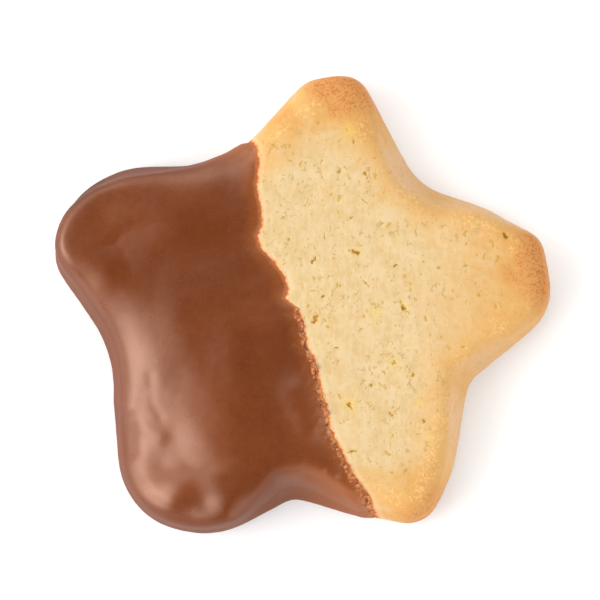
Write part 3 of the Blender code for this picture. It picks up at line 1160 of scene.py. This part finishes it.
# Painted highlight: pinkish light spots along the torn lip, beside its dark spots.
lip_highlight = wire.grain(0.9, 3.0, 0.6).ramp(0.54, 0.66) * past.ramp(0.85, 0.5) * past.ramp(0.1, 0.3) * torn
colour = (lip_highlight * 0.5).blend(colour, LIP_HIGHLIGHT)
bubbles = wire.grain(0.35, 1.0).ramp(0.76, 0.82)
colour = (bubbles * 0.6).blend(colour, BUBBLE)
roughness = 0.22 + wire.grain(6.0, 3.0) * 0.08 + wire.grain(0.4) * 0.03 + lip * 0.25 + hollow_shade * 0.3
roughness = roughness + upright.ramp(0.75, 0.35) * 0.42 + wire.field("shade") * 0.3
height = wire.grain(2.2, 3.0, 0.5) * 0.7 + wire.grain(0.35, 2.0) * 0.12 - bubbles * 0.4
height = height + wire.grain(0.55, 2.0) * lip * torn * 2.5
finish_with(
    wire,
    colour,
    roughness,
    height,
    CHOCOLATE_BUMP,
    {
        "Specular IOR Level": 1.0,
        "Specular Tint": (1.0, 0.70, 0.56, 1.0),
        "Subsurface Weight": 0.08,
        "Subsurface Radius": (1.0, 0.4, 0.2),
        "Subsurface Scale": 0.6 * MM,
    },
)

# %% [markdown]
# ## The crumbs' finish
#
# A crumb is broken biscuit that has soaked up some chocolate, so each has a tone of its own between
# tan and brown.

# %% Crumb colours
CRUMB_PALE = (0.540, 0.210, 0.090)
CRUMB_STAINED = (0.380, 0.100, 0.026)
CRUMB_BUMP = 0.03

crumb_finish, wire = new_finish("crumb_finish")
stain = (wire.field("tone") + (wire.grain(0.2) - 0.5) * 0.5).ramp(0.2, 0.8)
colour = stain.blend(CRUMB_PALE, CRUMB_STAINED)
finish_with(
    wire,
    colour,
    0.6 + wire.grain(0.2) * 0.2,
    wire.grain(0.1, 2.0),
    CRUMB_BUMP,
    {"Specular IOR Level": 0.3, "Subsurface Weight": 0.15, "Subsurface Scale": 0.5 * MM},
)

# %% [markdown]
# ## Putting the pieces on the frame
#
# Each piece rides on the one body, and the CAD node that it stands for is hidden.

# %% The three pieces


def place_piece(name, mesh, finish, node=None):
    """Make a smooth-shaded piece that rides on the body."""
    mesh.materials.clear()
    mesh.materials.append(finish)
    mesh.polygons.foreach_set("use_smooth", np.ones(len(mesh.polygons), bool))
    piece = new_piece(name, mesh)
    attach(piece, "root")
    if node:
        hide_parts(node)
    return piece


place_piece("biscuit_body", biscuit_mesh, biscuit_finish, "biscuit")
place_piece("chocolate", coat_mesh, chocolate_finish, "chocolate_coat")
place_piece("crumbs", crumb_mesh, crumb_finish)

# %% [markdown]
# ## The table, the light and the camera
#
# A plain white table that glows a little, which keeps the shadow pale, and a studio sky: bright
# towards the sides and dim overhead, so that level chocolate stays dark and only its slopes catch
# light. Large soft lights glow on the left, at the far side and at the near right, and a dark card
# stands at the near side.

# %% Table
FLOOR_SIZE = 12.0
FLOOR_COLOUR = (0.80, 0.80, 0.80)
FLOOR_SHADE = (0.785, 0.785, 0.79)
FLOOR_GLOW = 0.22
FLOOR_BUMP = 0.004

shape = bmesh.new()
bmesh.ops.create_grid(shape, x_segments=1, y_segments=1, size=FLOOR_SIZE / 2.0)
floor_mesh = mesh_of(shape, "floor")
floor_finish, wire = new_finish("floor_finish")
colour = wire.grain(60.0, 3.0).ramp(0.3, 0.7).blend(FLOOR_COLOUR, FLOOR_SHADE)
glowing = {"Emission Color": (1.0, 1.0, 1.0, 1.0), "Emission Strength": FLOOR_GLOW}
glowing["Specular IOR Level"] = 0.1
finish_with(wire, colour, 0.8 + wire.grain(20.0) * 0.1, wire.grain(0.6), FLOOR_BUMP, glowing)
floor_mesh.materials.append(floor_finish)
floor = new_piece("floor", floor_mesh)
floor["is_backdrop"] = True

# %% Studio sky
SKY_SIDES = 0.255
SKY_OVERHEAD = 0.05
SKY_HORIZON = 0.50
SKY_FADE = (5.0, 58.0)
HORIZON_BAND = (0.12, 0.02)
# Soft lights and, last, a dark card: the way each lies, the angle from it at which it starts and
# the angle at which it is full, in degrees, and its strength.
GLOWS = (
    (Vector((-0.88, -0.10, 0.47)), (62.0, 20.0), 1.8),
    (Vector((-0.79, -0.08, 0.61)), (34.0, 4.0), 3.6),
    (Vector((-0.78, -0.42, 0.46)), (26.0, 14.0), 0.8),
    (Vector((0.76, -0.56, 0.40)), (60.0, 18.0), 1.95),
    (Vector((0.0, 0.85, 0.50)), (58.0, 20.0), 0.40),
    (Vector((-0.15, 0.70, 0.68)), (44.0, 8.0), 1.5),
    (Vector((-0.25, -0.88, 0.35)), (46.0, 18.0), -0.35),
)

world = bpy.data.worlds.new("studio")
world.use_nodes = True
world.node_tree.nodes.clear()
bpy.context.scene.world = world
wire = Wire(world.node_tree)
direction = wire.node("ShaderNodeTexCoord", output="Generated")
rise = wire.node("ShaderNodeSeparateXYZ", None, {0: direction}, "Z")
fade = rise.math("ARCCOSINE", rise).ramp(*np.radians(SKY_FADE))
strength = fade * (SKY_SIDES - SKY_OVERHEAD) + SKY_OVERHEAD
strength = strength + rise.ramp(*HORIZON_BAND) * SKY_HORIZON
dot = {"operation": "DOT_PRODUCT"}
for way, edges, amount in GLOWS:
    towards = wire.node("ShaderNodeVectorMath", dot, {0: direction, 1: way.normalized()}, "Value")
    away = towards.math("ARCCOSINE", towards)
    strength = (strength + away.ramp(*np.radians(edges)) * amount).most(0.0)
sky = wire.node("ShaderNodeBackground", None, {"Color": (1.0, 1.0, 1.0, 1.0), "Strength": strength})
wire.node("ShaderNodeOutputWorld", None, {"Surface": sky})

# %% Camera
VIEW_ELEVATION = 87.0
VIEW_DISTANCE = 0.58
VIEW_WIDTH = 0.0739
VIEW_CENTRE = Vector((-0.0002, 0.0002, 0.008))
VIEW_END = 50.0

camera_data = bpy.data.cameras.new("camera")
camera_data.lens = camera_data.sensor_width * VIEW_DISTANCE / VIEW_WIDTH
camera = bpy.data.objects.new("camera", camera_data)
lean = math.radians(VIEW_ELEVATION)
back = Vector((0.0, -math.cos(lean), math.sin(lean)))
camera.location = VIEW_CENTRE + back * VIEW_DISTANCE
camera.rotation_euler = (math.radians(90.0) - lean, 0.0, 0.0)
camera_data.clip_end = VIEW_END
bpy.context.scene.collection.objects.link(camera)
bpy.context.scene.camera = camera
bpy.context.scene.view_settings.view_transform = "Standard"

# %% Print the finished size
low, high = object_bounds()
print("finished size in mm:", [round(side / MM, 1) for side in high - low])
